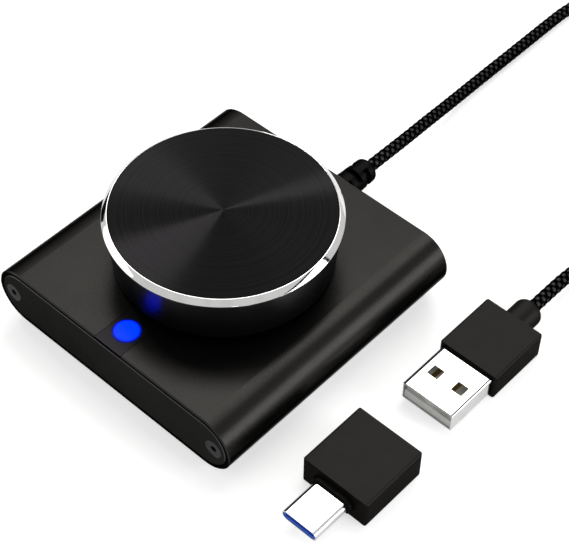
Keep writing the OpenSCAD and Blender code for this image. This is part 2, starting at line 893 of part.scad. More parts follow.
// The crimp housing that carries the cores into the board's socket.
module wire_housing() {
    color([0.92, 0.9, 0.84])
        difference() {
            block([-3, socket_y + 0.4, wire_z - 1.1], [3, socket_y + 4.2, wire_z + 1.1]);
            for (i = [0:3])
                translate([(i - 1.5) * wire_pitch, 0, wire_z])
                    rod_y(0.7, socket_y + 3, socket_y + 5);
        }
}

// The board's socket: an open box around the crimp housing.
module board_socket() {
    color([0.9, 0.88, 0.8])
        difference() {
            block([-4.2, socket_y - 1.6, board_top], [4.2, socket_y + 2.4, wire_z + 2]);
            block([-3 - seat, socket_y + 0.4 - seat, wire_z - 1.1 - seat],
                [3 + seat, socket_y + 5, wire_z + 1.1 + seat]);
        }
}

module cord_to_coil() {
    color([0.05, 0.05, 0.05]) tube(out_route, cord_d, 8);
}

module cord_coil() {
    color([0.05, 0.05, 0.05]) tube(coil_path, cord_d, 6);
}

module cord_to_plug() {
    color([0.05, 0.05, 0.05]) tube(in_route, cord_d, 8);
}

// Two straps, each closed around the whole bundle of turns.
module coil_ties() {
    inner = coil_in - cord_d / 2 - 0.7;
    outer = coil_out + cord_d / 2 + 0.2;
    low = tie_t;
    high = coil_top + cord_d / 2 + 0.2;
    mid = [(inner + outer) / 2, (low + high) / 2];
    hole = [outer - inner, high - low];
    color([0.1, 0.1, 0.1])
        translate([coil_at[0], coil_at[1], 0])
            for (a = [45, 225])
                rotate(a) along_y(-tie_w / 2, tie_w / 2)
                    translate(mid) difference() {
                        rounded(hole[0] + 2 * tie_t, hole[1] + 2 * tie_t, 1.2);
                        rounded(hole[0], hole[1], 0.6);
                    }
}

// The plug's grip, with the socket that its metal shell is moulded into and a
// round collar that the cord enters.
module usb_a_overmould() {
    end_r = (mould_collar_d - cord_d) / 2 - 0.1;
    color([0.1, 0.1, 0.1])
        translate([plug_x, 0, plug_z]) {
            difference() {
                intersection() {
                    along_y(mould_y, mould_y + mould_l) rounded(mould_w, mould_h, 0.6);
                    translate([0, mould_y + mould_l / 2, -mould_h])
                        linear_extrude(2 * mould_h) rounded(mould_w, mould_l, 0.5);
                }
                along_y(mould_y - 1, mould_y + 6)
                    square([usb_a_w + 2 * seat, usb_a_h + 2 * seat], center = true);
            }
            translate([0, mould_y + mould_l - eps, 0]) rotate([-90, 0, 0])
                rotate_extrude() polygon(concat(
                    [[0, 0], [mould_collar_d / 2, 0]],
                    [for (a = [0:15:90]) [mould_collar_d / 2 - end_r * (1 - cos(a)),
                        mould_collar_l + eps - end_r * (1 - sin(a))]],
                    [[0, mould_collar_l + eps]]
                ));
        }
}

// The folded metal shell, open in front, with two latch windows above and
// two below.
module usb_a_shell() {
    window = [2.5, 2.5];
    color([0.82, 0.82, 0.84])
        translate([plug_x, 0, plug_z]) difference() {
            along_y(tip_y, mould_y + 6 - seat) rounded(usb_a_w, usb_a_h, 0.4);
            along_y(tip_y - 1, mould_y + 7)
                rounded(usb_a_w - 2 * sheet, usb_a_h - 2 * sheet, 0.15);
            for (side = [-1, 1])
                translate([side * 2.9 - window[0] / 2, tip_y + 4.8, -usb_a_h])
                    cube([window[0], window[1], 2 * usb_a_h]);
        }
}

// The plug's insulator: a block that fills the shell's back and a tongue
// along its lower half.
module usb_a_tongue() {
    half = usb_a_w / 2 - sheet - seat;
    shell_high = plug_z + usb_a_h / 2 - sheet;
    color([0.9, 0.9, 0.88])
        translate([plug_x, 0, 0]) {
            block([-half, tip_y + 0.4, shell_low + seat],
                [half, mould_y + 6 - seat, shell_low + tongue_h]);
            block([-half, mould_y - 2, shell_low + seat],
                [half, mould_y + 6 - seat, shell_high - seat]);
        }
}

// Four contact strips; the outer two reach further forward.
module contact_row(y_end, y_long, y_short, z, w) {
    for (i = [-1.5:1:1.5])
        let (tip = abs(i) > 1 ? y_long : y_short, x = i * 2.4)
        block([x - w / 2, min(tip, y_end), z], [x + w / 2, max(tip, y_end), z + contact_t]);
}

module usb_a_contacts() {
    color([0.85, 0.68, 0.3])
        translate([plug_x, 0, 0])
            contact_row(mould_y - 2 - seat, tip_y + 1.4, tip_y + 2.4,
                shell_low + tongue_h, 1);
}

// ---------- adapter ----------

// Outline of the metal liner with its sheet; the socket's cavity is cut to it.
module liner_outline(grow) {
    rounded(socket_w + 2 * (liner_t + grow), socket_h + 2 * (liner_t + grow), 0.4);
}

module adapter_housing() {
    color([0.11, 0.11, 0.11])
        translate([plug_x, 0, 0]) difference() {
            union() {
                intersection() {
                    translate([0, 0, adapter_h / 2])
                        along_y(front_y, adapter_y) rounded(adapter_w, adapter_h, 0.6);
                    translate([0, (front_y + adapter_y) / 2, -1])
                        linear_extrude(adapter_h + 2) rounded(adapter_w, adapter_l, 0.5);
                }
                translate([0, 0, plug_z]) along_y(front_y - boss_l, front_y + 1)
                    stadium(usb_c_w + 1.4, usb_c_h + 1.4);
            }
            translate([0, 0, plug_z])
                along_y(adapter_y - socket_l, adapter_y + 1) liner_outline(seat);
            translate([0, 0, plug_z])
                along_y(front_y - boss_l - 1, front_y + 1.6)
                    stadium(usb_c_w + 2 * seat, usb_c_h + 2 * seat);
        }
}

// The metal liner of the adapter's socket.
module adapter_socket() {
    color([0.78, 0.78, 0.8])
        translate([plug_x, 0, plug_z]) difference() {
            along_y(adapter_y - socket_l + seat, adapter_y - 0.2) liner_outline(0);
            along_y(adapter_y - socket_l - 1, adapter_y + 1)
                square([socket_w, socket_h], center = true);
        }
}

// The socket's insulator: its back wall and the tongue that reaches into the
// plug's shell.
module adapter_tongue() {
    half_w = socket_w / 2 - seat;
    half_h = socket_h / 2 - seat;
    back = adapter_y - socket_l + seat;
    tongue_half = usb_a_w / 2 - sheet - 0.2;
    color([0.1, 0.12, 0.2])
        translate([plug_x, 0, 0]) {
            block([-half_w, back, plug_z - half_h],
                [half_w, back + insulator_t - slip, plug_z + half_h]);
            block([-tongue_half, back, mate_mid - mate_t / 2],
                [tongue_half, adapter_y - 2.3, mate_mid + mate_t / 2]);
        }
}

module adapter_contacts() {
    back = adapter_y - socket_l + insulator_t - slip + 2 * seat;
    color([0.85, 0.68, 0.3])
        translate([plug_x, 0, 0])
            contact_row(back, adapter_y - 3.3, adapter_y - 4.3,
                mate_mid - mate_t / 2 - contact_t, 1);
}

// The drawn USB-C shell, a round-ended tube that is open in front.
module usb_c_shell() {
    color([0.85, 0.85, 0.87])
        translate([plug_x, 0, plug_z]) difference() {
            along_y(usb_c_tip, front_y + 1.5) stadium(usb_c_w, usb_c_h);
            along_y(usb_c_tip - 1, front_y + 0.8)
                stadium(usb_c_w - 2 * liner_t, usb_c_h - 2 * liner_t);
        }
}

// The blue insulator inside the USB-C shell, with its slot.
module usb_c_core() {
    color([0.05, 0.2, 0.75])
        translate([plug_x, 0, plug_z]) difference() {
            along_y(usb_c_tip + 0.15, front_y + 0.7)
                stadium(usb_c_w - 2 * liner_t - 2 * seat, usb_c_h - 2 * liner_t - 2 * seat);
            along_y(usb_c_tip - 1, usb_c_tip + 5.5)
                square([6.7, 0.75], center = true);
        }
}

// The coil's clearance and the cord's lengths, in millimetres.
union() {  // cord_coil
    echo(least_gap_in_coil = coil_gap());
    echo(length_in_coil = path_length(coil_path));
    echo(length_to_coil = path_length(out_route));
    echo(length_to_plug = path_length(in_route));
}

base_pad();
housing_sleeve();
front_plate();
rear_plate();
front_screws();
rear_screws();
indicator_strip();
led_lens();
main_board();
status_led();
controller_chip();
crystal_can();
chip_passives();
encoder_base();
encoder_body();
encoder_bracket();
encoder_bushing();
bushing_washer();
bushing_nut();
encoder_pins();
switch_dome();
detent_spring();
switch_plunger();
encoder_rotor();
encoder_shaft();
shaft_clip();
knob_hub();
knob_shell();
knob_cap();
strain_relief();
inner_jacket();
cord_wires();
wire_housing();
board_socket();
cord_to_coil();
cord_coil();
coil_ties();
cord_to_plug();
usb_a_overmould();
usb_a_shell();
usb_a_tongue();
usb_a_contacts();
adapter_housing();
adapter_socket();
adapter_tongue();
adapter_contacts();
usb_c_shell();
usb_c_core();
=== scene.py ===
import math

import bmesh
import bpy
import numpy as np
from mathutils import Matrix, Vector


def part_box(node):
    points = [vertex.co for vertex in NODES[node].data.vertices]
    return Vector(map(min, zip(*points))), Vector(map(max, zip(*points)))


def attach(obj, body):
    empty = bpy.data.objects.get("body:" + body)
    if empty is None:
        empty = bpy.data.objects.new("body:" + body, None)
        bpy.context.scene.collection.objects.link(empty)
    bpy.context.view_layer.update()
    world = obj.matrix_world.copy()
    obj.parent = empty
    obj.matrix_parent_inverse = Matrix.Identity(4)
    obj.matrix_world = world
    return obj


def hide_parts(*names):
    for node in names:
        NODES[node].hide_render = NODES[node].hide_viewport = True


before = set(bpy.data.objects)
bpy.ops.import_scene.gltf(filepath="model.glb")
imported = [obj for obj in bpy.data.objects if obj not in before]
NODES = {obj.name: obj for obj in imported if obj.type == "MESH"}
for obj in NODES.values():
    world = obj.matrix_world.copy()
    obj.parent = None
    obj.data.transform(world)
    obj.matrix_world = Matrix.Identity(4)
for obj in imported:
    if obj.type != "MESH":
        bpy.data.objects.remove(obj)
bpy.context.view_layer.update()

MM = 0.001
WHITE = (1.0, 1.0, 1.0, 1.0)


# ---------- camera ----------

AZIMUTH = math.radians(41.92)
ELEVATION = math.radians(49.13)
ROLL = math.radians(0.89)
TARGET = Vector((0.00337, 0.01375, 0.0))
DISTANCE = 0.33533
FOCAL_LENGTH = 104.14
SENSOR = 36.0
CLIP_START, CLIP_END = 0.01, 20.0


def make_camera():
    """The camera fitted to the photo."""
    back = Vector((
        math.sin(AZIMUTH) * math.cos(ELEVATION),
        -math.cos(AZIMUTH) * math.cos(ELEVATION),
        math.sin(ELEVATION),
    ))
    level = Vector((math.cos(AZIMUTH), math.sin(AZIMUTH), 0.0))
    up = back.cross(level)
    x = math.cos(ROLL) * level + math.sin(ROLL) * up
    y = math.cos(ROLL) * up - math.sin(ROLL) * level
    data = bpy.data.cameras.new("camera")
    data.lens, data.sensor_width = FOCAL_LENGTH, SENSOR
    data.clip_start, data.clip_end = CLIP_START, CLIP_END
    camera = bpy.data.objects.new("camera", data)
    turn = Matrix((x, y, back)).transposed().to_4x4()
    camera.matrix_world = Matrix.Translation(TARGET + DISTANCE * back) @ turn
    bpy.context.scene.collection.objects.link(camera)
    bpy.context.scene.camera = camera


# ---------- node material helpers ----------

NOISE_LOW, NOISE_HIGH = 0.3, 0.7     # the range that a noise texture mostly stays in


class Shader:
    """A Principled material that is built up one texture at a time.

    Its lengths are millimetres of the row frame. slant is the share of a metal's
    reflection that is left at a slant, so that dark parts stay dark on a white floor.
    """

    def __init__(self, name, colour, roughness, specular=0.5, metallic=0.0, slant=1.0):
        self.material = bpy.data.materials.new(name)
        self.material.use_nodes = True
        self.material.diffuse_color = (*colour, 1.0)
        self.tree = self.material.node_tree
        self.tree.nodes.clear()
        self.bsdf = self.node("ShaderNodeBsdfPrincipled")
        out = self.node("ShaderNodeOutputMaterial")
        self.link(self.bsdf.outputs["BSDF"], out.inputs["Surface"])
        self.colour = colour
        self.set("Base Color", (*colour, 1.0))
        self.set("Roughness", roughness)
        self.set("Metallic", metallic)
        self.set("Specular IOR Level", specular)
        self.set("Specular Tint", (slant, slant, slant, 1.0))
        coordinates = self.node("ShaderNodeTexCoord")
        scale = self.node("ShaderNodeVectorMath", operation="SCALE")
        scale.inputs["Scale"].default_value = 1.0 / MM
        self.link(coordinates.outputs["Object"], scale.inputs[0])
        self.place = scale.outputs["Vector"]
        self.direction = coordinates.outputs["Normal"]

    def node(self, kind, **settings):
        made = self.tree.nodes.new(kind)
        for key, value in settings.items():
            setattr(made, key, value)
        return made

    def link(self, source, target):
        self.tree.links.new(source, target)

    def put(self, value, socket):
        """Links the value if it is a socket, and otherwise sets it."""
        if isinstance(value, bpy.types.NodeSocket):
            self.link(value, socket)
        elif isinstance(value, tuple):
            socket.default_value = (*value, 1.0)
        else:
            socket.default_value = value

    def set(self, socket, value):
        self.bsdf.inputs[socket].default_value = value

    def noise(self, per_mm, detail=2.0):
        made = self.node("ShaderNodeTexNoise")
        made.inputs["Scale"].default_value = per_mm
        made.inputs["Detail"].default_value = detail
        self.link(self.place, made.inputs["Vector"])
        return made.outputs["Fac"]

    def math(self, operation, *values):
        made = self.node("ShaderNodeMath", operation=operation)
        for socket, value in zip(made.inputs, values):
            self.put(value, socket)
        return made.outputs[0]

    def span(self, value, low, high, out_low=0.0, out_high=1.0):
        """Follows the value from low to high with a smooth step."""
        made = self.node("ShaderNodeMapRange", interpolation_type="SMOOTHSTEP")
        self.link(value, made.inputs["Value"])
        for socket, number in zip(
            ("From Min", "From Max", "To Min", "To Max"), (low, high, out_low, out_high)
        ):
            made.inputs[socket].default_value = number
        return made.outputs["Result"]

    def parts(self, vector):
        made = self.node("ShaderNodeSeparateXYZ")
        self.link(vector, made.inputs[0])
        return made.outputs

    def radius(self, x=0.0, y=0.0):
        """Distance from the upright line through x, y."""
        place = self.parts(self.place)
        squares = []
        for socket, middle in zip(place, (x, y)):
            away = self.math("SUBTRACT", socket, middle)
            squares.append(self.math("MULTIPLY", away, away))
        return self.math("SQRT", self.math("ADD", *squares))

    def tint(self, mask, low, high):
        """The base colour goes from low to high with the mask; low may be a socket."""
        mix = self.node("ShaderNodeMix", data_type="RGBA")
        self.link(mask, mix.inputs["Factor"])
        self.put(low, mix.inputs["A"])
        self.put(high, mix.inputs["B"])
        self.link(mix.outputs["Result"], self.bsdf.inputs["Base Color"])
        return mix.outputs["Result"]

    def mottle(self, per_mm, amount):
        """The base colour drifts a little lighter and darker over the surface."""
        low, high = (
            tuple(min(1.0, c * k) for c in self.colour) for k in (1 - amount, 1 + amount)
        )
        return self.tint(self.span(self.noise(per_mm, 3.0), NOISE_LOW, NOISE_HIGH), low, high)

    def rough(self, noise, low, high):
        self.link(self.span(noise, NOISE_LOW, NOISE_HIGH, low, high), self.bsdf.inputs["Roughness"])

    def bump(self, height, depth_mm, strength=1.0):
        made = self.node("ShaderNodeBump")
        made.inputs["Distance"].default_value = depth_mm * MM
        made.inputs["Strength"].default_value = strength
        self.link(height, made.inputs["Height"])
        self.link(made.outputs["Normal"], self.bsdf.inputs["Normal"])


def moulded(name, colour, roughness, grain=6.0, depth=0.02):
    """Moulded plastic or rubber: a fine eroded grain and a slow drift of tone."""
    shader = Shader(name, colour, roughness, specular=0.12)
    shader.mottle(0.15, 0.12)
    shader.rough(shader.noise(1.2), roughness - 0.04, roughness + 0.05)
    shader.bump(shader.noise(grain, 3.0), depth, 0.5)
    return shader.material


def black_moulding(name, colour, roughness):
    """Smooth black plastic whose sides stay black beside a white floor."""
    shader = Shader(name, colour, roughness, metallic=1.0, slant=0.45)
    shader.mottle(0.3, 0.03)
    shader.rough(shader.noise(4.0), roughness - 0.01, roughness + 0.01)
    shader.bump(shader.noise(6.0, 3.0), 0.002, 0.4)
    return shader.material


def metal(name, colour, roughness, depth=0.004, slant=1.0):
    """Plated or bare metal with faint handling marks."""
    shader = Shader(name, colour, roughness, metallic=1.0, slant=slant)
    shader.mottle(0.3, 0.05)
    shader.rough(shader.noise(0.8, 4.0), roughness * 0.8, roughness * 1.25)
    shader.bump(shader.noise(9.0), depth, 0.4)
    return shader.material


# ---------- mesh helpers ----------

SHARP_ANGLE = math.radians(35)


def add_mesh(name, points, faces, body, materials, which=None):
    """A smooth piece that rides on a body; which gives each face's material."""
    mesh = bpy.data.meshes.new(name)
    mesh.from_pydata(points, [], faces)
    for material in materials:
        mesh.materials.append(material)
    if which is not None:
        mesh.polygons.foreach_set("material_index", which)
    mesh.polygons.foreach_set("use_smooth", np.ones(len(faces), bool))
    mesh.update()
    made = bpy.data.objects.new(name, mesh)
    bpy.context.scene.collection.objects.link(made)
    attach(made, body)
    return made


def clean_mesh(made):
    """Makes all faces look outwards and keeps the edges sharp that turn far."""
    work = bmesh.new()
    work.from_mesh(made.data)
    bmesh.ops.recalc_face_normals(work, faces=work.faces)
    work.to_mesh(made.data)
    work.free()
    made.data.set_sharp_from_angle(angle=SHARP_ANGLE)


def turned(name, outline, sides, body, materials, which=None, dent=None):
    """A closed outline of (radius, height) points, turned about the Z axis.

    which gives the material of each edge of the outline, and dent(row, column) is
    taken off the radius of a point.
    """
    points, rows = [], []
    for row, (r, z) in enumerate(outline):
        if r == 0:
            rows.append([len(points)] * sides)
            points.append((0.0, 0.0, z))
            continue
        rows.append(list(range(len(points), len(points) + sides)))
        for k in range(sides):
            a = 2 * math.pi * k / sides
            reach = r - dent(row, k) if dent else r
            points.append((reach * math.cos(a), reach * math.sin(a), z))
    faces, face_material = [], []
    for i, (low, high) in enumerate(zip(rows, rows[1:] + rows[:1])):
        if low[0] == low[1] and high[0] == high[1]:
            continue
        for k in range(sides):
            n = (k + 1) % sides
            ring = [low[k], low[n], high[n], high[k]]
            faces.append(tuple(dict.fromkeys(ring)))
            face_material.append(which[i] if which else 0)
    made = add_mesh(name, points, faces, body, materials, face_material)
    clean_mesh(made)
    return made


# ---------- cord ----------

CORD_D = 0.00285
COIL_AT = (0.042, 0.109)
COIL_LAYERS = 4
COIL_TURNS = 13.25
LAYER_TURNS = COIL_TURNS / COIL_LAYERS
CLIMB_TURNS = 0.5         # the part of a turn in which the coil goes up one layer
COIL_PITCH = 0.0033
COIL_R = 0.016
COIL_SPAN = LAYER_TURNS * COIL_PITCH
COIL_OUT = COIL_R + COIL_SPAN / 2
COIL_IN = COIL_R - COIL_SPAN / 2
TIE_T = 0.0006            # the coil lies on its straps, with this gap
TIE_GAP = 0.00005
COIL_LOW = TIE_T + TIE_GAP + CORD_D / 2
COIL_TOP = COIL_LOW + (COIL_LAYERS - 1) * COIL_PITCH
PLUG_X = 0.0475
PLUG_Z = 0.0031
EXIT = (0.0, 0.0434, 0.0055)
COLLAR_END = 0.0379

# From the bend relief to the coil, and from the coil to the plug's collar.
OUT_ROUTE = [
    EXIT,
    (0.0, 0.0471, 0.0055),
    (-0.0001, 0.0531, 0.0052),
    (-0.00045, 0.0591, 0.0046),
    (-0.00095, 0.0651, 0.0038),
    (-0.00145, 0.072, 0.0029),
    (-0.00195, 0.078, 0.0021),
    (-0.00225, 0.084, 0.00165),
    (-0.00235, 0.090, 0.00145),
    (-0.00235, 0.097, 0.00145),
    (-0.00235, 0.104, 0.00145),
    (-0.00235, 0.111, 0.00145),
    (-0.0022, 0.117, 0.00145),
    (-0.0012, 0.1226, 0.00145),
    (0.0014, 0.1266, 0.00145),
    (0.0054, 0.1292, 0.00145),
    (0.011, 0.1302, 0.00145),
    (0.018, 0.1304, 0.0015),
    (0.025, COIL_AT[1] + COIL_OUT, 0.0018),
    (0.032, COIL_AT[1] + COIL_OUT, COIL_LOW),
    (COIL_AT[0] - CORD_D, COIL_AT[1] + COIL_OUT, COIL_LOW),
]
IN_ROUTE = [
    (COIL_AT[0] + COIL_OUT, COIL_AT[1] - CORD_D, COIL_TOP),
    (COIL_AT[0] + COIL_OUT, COIL_AT[1] - 0.007, COIL_TOP),
    (0.063, 0.097, 0.0112),
    (0.0618, 0.0915, 0.0097),
    (0.0597, 0.086, 0.0076),
    (0.0569, 0.0805, 0.0054),
    (0.0538, 0.075, 0.0035),
    (0.051, 0.069, 0.0022),
    (0.049, 0.063, 0.0016),
    (0.0479, 0.057, 0.0018),
    (0.0476, 0.052, 0.0024),
    (PLUG_X, 0.0485, 0.0028),
    (PLUG_X, 0.0455, 0.003),
    (PLUG_X, COLLAR_END + 0.003, PLUG_Z),
    (PLUG_X, COLLAR_END, PLUG_Z),
]
ROUTE_STEPS = 24      # between two points of a route
COIL_STEPS = 96       # in one turn of the coil

# The braid: its cells round the cord, a cell's length, and how deep its gaps are.
BRAID_CELLS = 4
BRAID_LENGTH = 0.00173
BRAID_DEPTH = 0.0002
BRAID_SIDES = 24
BRAID_RINGS = 8       # in one cell's length


def ease(u):
    """A smooth step from 0 to 1."""
    return (1 - math.cos(math.pi * max(0.0, min(1.0, u)))) / 2


def coil_point(t):
    """The coil after t turns: it spirals in and out, one layer up at each turn back."""
    layer = min(COIL_LAYERS - 1, int(t / LAYER_TURNS))
    u = t / LAYER_TURNS - layer
    r = COIL_OUT - COIL_SPAN * u if layer % 2 == 0 else COIL_IN + COIL_SPAN * u
    steps = sum(ease((t - k * LAYER_TURNS) / CLIMB_TURNS + 0.5) for k in range(1, COIL_LAYERS))
    a = 2 * math.pi * t
    return (COIL_AT[0] + r * math.sin(a), COIL_AT[1] + r * math.cos(a),
            COIL_LOW + COIL_PITCH * steps)


def smooth_through(points):
    """A Catmull-Rom curve through given points."""
    p = np.array(points, float)
    p = np.vstack([2 * p[0] - p[1], p, 2 * p[-1] - p[-2]])
    t = np.linspace(0, 1, ROUTE_STEPS, endpoint=False)[:, None]
    runs = []
    for a, b, c, d in zip(p, p[1:], p[2:], p[3:]):
        runs.append(0.5 * (2 * b + (c - a) * t + (2 * a - 5 * b + 4 * c - d) * t ** 2
                           + (3 * b - a - 3 * c + d) * t ** 3))
    return np.vstack(runs + [p[-2][None]])


def run_along(line):
    """How far along the line each of its points lies."""
    return np.concatenate([[0], np.cumsum(np.linalg.norm(np.diff(line, axis=0), axis=1))])


def evenly(line, step):
    """The same line with its points about step apart, and its length."""
    run = run_along(line)
    at = np.linspace(0, run[-1], int(round(run[-1] / step)) + 1)
    return np.stack([np.interp(at, run, line[:, k]) for k in range(3)], axis=1), run[-1]


def carried_frames(line):
    """Two directions across the line at each point, carried along without twist."""
    heading = np.gradient(line, axis=0)
    heading /= np.linalg.norm(heading, axis=1)[:, None]
    across = np.empty_like(line)
    side = np.cross(heading[0], (0.0, 0.0, 1.0))
    for i, t in enumerate(heading):
        side = side - (side @ t) * t
        side /= np.linalg.norm(side)
        across[i] = side
    return across, np.cross(across, heading)


def braided_tube(line):
    """A tube whose surface rises and falls with two sets of crossing strands."""
    across, up = carried_frames(line)
    rings = len(line)
    angle = 2 * np.pi * np.arange(BRAID_SIDES) / BRAID_SIDES
    along = np.arange(rings)[:, None] / BRAID_RINGS
    around = (angle * BRAID_CELLS / (2 * np.pi))[None, :]
    right = (around + along) % 1 - 0.5
    left = (around - along) % 1 - 0.5
    crest = np.sqrt(np.cos(np.pi * right) * np.cos(np.pi * left))
    radius = CORD_D / 2 - BRAID_DEPTH * (1 - crest)
    points = line[:, None, :] + radius[:, :, None] * (
        np.cos(angle)[None, :, None] * across[:, None, :]
        + np.sin(angle)[None, :, None] * up[:, None, :]
    )
    row = np.arange(rings - 1)[:, None] * BRAID_SIDES
    k = np.arange(BRAID_SIDES)[None, :]
    n = (k + 1) % BRAID_SIDES
    quads = np.stack([row + k, row + n, row + BRAID_SIDES + n, row + BRAID_SIDES + k], axis=-1)
    faces = quads.reshape(-1, 4).tolist()
    faces.append(list(range(BRAID_SIDES))[::-1])
    faces.append([(rings - 1) * BRAID_SIDES + i for i in range(BRAID_SIDES)])
    made = add_mesh("braided_cord", points.reshape(-1, 3).tolist(), faces,
                    "base", [braid_material()])
    height = made.data.attributes.new("crest", "FLOAT", "POINT")
    height.data.foreach_set("value", crest.astype(np.float32).ravel())
    return made


def braid_material():
    """Black yarn, with painted shade that makes it darkest in the gaps between its strands."""
    shader = Shader("braid", (0.012, 0.012, 0.012), 0.5, metallic=1.0, slant=0.3)
    crest = shader.node("ShaderNodeAttribute", attribute_name="crest").outputs["Fac"]
    # Painted shade: the base colour goes nearly black in the gaps between the strands and lighter
    # on their crests.
    shader.tint(shader.span(crest, 0.5, 0.98), (0.0006, 0.0006, 0.0006), (0.026, 0.026, 0.026))
    shader.bump(shader.noise(7.0), 0.03, 0.5)
    return shader.material


def make_cord(straps, shell):
    """The whole cord as one braided tube."""
    steps = int(COIL_TURNS * COIL_STEPS)
    coil = np.array([coil_point(COIL_TURNS * i / steps) for i in range(steps + 1)])
    whole = np.vstack([smooth_through(OUT_ROUTE), coil, smooth_through(IN_ROUTE)])
    line, length = evenly(whole, BRAID_LENGTH / BRAID_RINGS)
    cord = braided_tube(line)
    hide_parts("cord_to_coil", "cord_coil", "cord_to_plug")


# ---------- straps round the coil ----------

STRAP_AT = (45, 225)        # degrees round the coil
STRAP_W = 0.006
STRAP_T = 0.0005
STRAP_EDGE = 0.0001         # how far in the band's edges thin down, to STRAP_RIM
STRAP_RIM = 0.0002
STRAP_CORNER = 0.0009
STRAP_STEP = 0.0003
STRAP_LAP = 0.009           # how much of the end lies over the start
STRAP_LEAD = 0.004          # how far before the lap the end starts to rise
STRAP_RISE = 0.003          # the length that it rises over
PLAY_INSIDE = 0.0007        # between the cord and the strap, in the coil's middle
PLAY_OUTSIDE = 0.0002
CORNER_STEPS = 8


def strap_path(half_x, half_z):
    """Points and outward directions round an upright rounded rectangle, then a lap."""
    points, outward = [(0.0, half_z)], [(0.0, 1.0)]
    for sx, sz, first in ((1, 1, 90), (1, -1, 0), (-1, -1, -90), (-1, 1, -180)):
        for k in range(CORNER_STEPS + 1):
            a = math.radians(first - 90 * k / CORNER_STEPS)
            points.append((sx * (half_x - STRAP_CORNER) + STRAP_CORNER * math.cos(a),
                           sz * (half_z - STRAP_CORNER) + STRAP_CORNER * math.sin(a)))
            outward.append((math.cos(a), math.sin(a)))
    p, n = np.array(points + points[:1]), np.array(outward + outward[:1])
    run = run_along(p)
    total, start = run[-1], STRAP_LAP / 2
    at = np.concatenate([np.arange(total - start, total, STRAP_STEP) - total,
                         np.arange(0, total + start, STRAP_STEP)])
    where = at % total
    x, z = (np.interp(where, run, p[:, k]) for k in (0, 1))
    nx, nz = (np.interp(where, run, n[:, k]) for k in (0, 1))
    size = np.hypot(nx, nz)
    climb = np.clip((at - (total - start - STRAP_LEAD)) / STRAP_RISE, 0, 1)
    lift = (STRAP_T + TIE_GAP) * climb * climb * (3 - 2 * climb)
    return x + lift * nx / size, z + lift * nz / size, nx / size, nz / size


def make_straps():
    """Two hook-and-loop bands, each with its end lapped over its start."""
    inner = COIL_IN - CORD_D / 2 - PLAY_INSIDE
    outer = COIL_OUT + CORD_D / 2 + PLAY_OUTSIDE
    top = COIL_TOP + CORD_D / 2 + PLAY_OUTSIDE
    middle_r, middle_z = (inner + outer) / 2, (TIE_T + top) / 2
    away = STRAP_T / 2 + TIE_GAP
    x, z, nx, nz = strap_path((outer - inner) / 2 + away, (top - TIE_T) / 2 + away)
    w, t, e, rim = STRAP_W / 2, STRAP_T / 2, STRAP_EDGE, STRAP_RIM / 2
    profile = [(-w, -rim), (e - w, -t), (w - e, -t), (w, -rim),
               (w, rim), (w - e, t), (e - w, t), (-w, rim)]
    sides = len(profile)
    points, faces = [], []
    for turn in STRAP_AT:
        c, s = math.cos(math.radians(turn)), math.sin(math.radians(turn))
        first = len(points)
        for i in range(len(x)):
            for across, out in profile:
                r = middle_r + x[i] + out * nx[i]
                points.append((COIL_AT[0] + r * c - across * s, COIL_AT[1] + r * s + across * c,
                               middle_z + z[i] + out * nz[i]))
        for i in range(len(x) - 1):
            for k in range(sides):
                a, b = (first + sides * i + j % sides for j in (k, k + 1))
                faces.append((a, b, b + sides, a + sides))
        faces.append(tuple(range(first, first + sides)))
        faces.append(tuple(range(len(points) - 1, len(points) - 1 - sides, -1)))
    straps = add_mesh("coil_straps", points, faces, "base", [strap_material()])
    clean_mesh(straps)
    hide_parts("coil_ties")
    return straps


def strap_material():
    """Black hook-and-loop tape with a soft, uneven pile."""
    shader = Shader("strap", (0.012, 0.012, 0.0125), 0.85, specular=0.1)
    shader.mottle(6.0, 0.5)
    shader.bump(shader.noise(5.0, 3.0), 0.06, 0.8)
    shader.set("Sheen Weight", 0.2)
    return shader.material


# ---------- shell of the USB-A plug ----------

SHELL_T = 0.0003
SHELL_ROUND = 0.0005
ROUND_STEPS = 6
SUPPORT = 0.00022           # from a corner to the first line in the flat beside it
MOUTH_CUT = 0.00012
WINDOW_X = (0.00165, 0.00415)
WINDOW_Y = (0.0048, 0.0073)
# Rows of faces along the shell, from its mouth.
MOUTH_ROW, WINDOW_ROW = 0, 2
# Edges of the section, counted from the top's left end and backwards from there: the
# windows in the top, the mouth's lip, and the two folds, where a dark reflection is painted as dark
# lines.
WINDOW_EDGES = (2, 4)
LIP_EDGES = range(-3, 7)
FOLD_EDGES = (*range(-4, 1), 7, 8)


def shell_section(half_w, half_h, inset):
    """The section's (x, z) points, clockwise from the top's left end, moved in by inset."""
    inside_x, inside_z = half_w - SHELL_ROUND, half_h - SHELL_ROUND
    corner = SHELL_ROUND - inset
    row = [-inside_x, -inside_x + SUPPORT, -WINDOW_X[1], -WINDOW_X[0],
           WINDOW_X[0], WINDOW_X[1], inside_x - SUPPORT, inside_x]
    points = []

    def arc(middle_x, middle_z, first, steps):
        for k in steps:
            a = math.radians(first - 90 * k / ROUND_STEPS)
            points.append((middle_x + corner * math.cos(a), middle_z + corner * math.sin(a)))

    for s in (1, -1):
        points += [(s * x, s * (half_h - inset)) for x in row]
        arc(s * inside_x, s * inside_z, s * 90, range(1, ROUND_STEPS + 1))
        points += [(s * (half_w - inset), z) for z in (s * (inside_z - SUPPORT),
                                                       -s * (inside_z - SUPPORT))]
        arc(s * inside_x, -s * inside_z, s * 90 - 90, range(ROUND_STEPS))
    return points


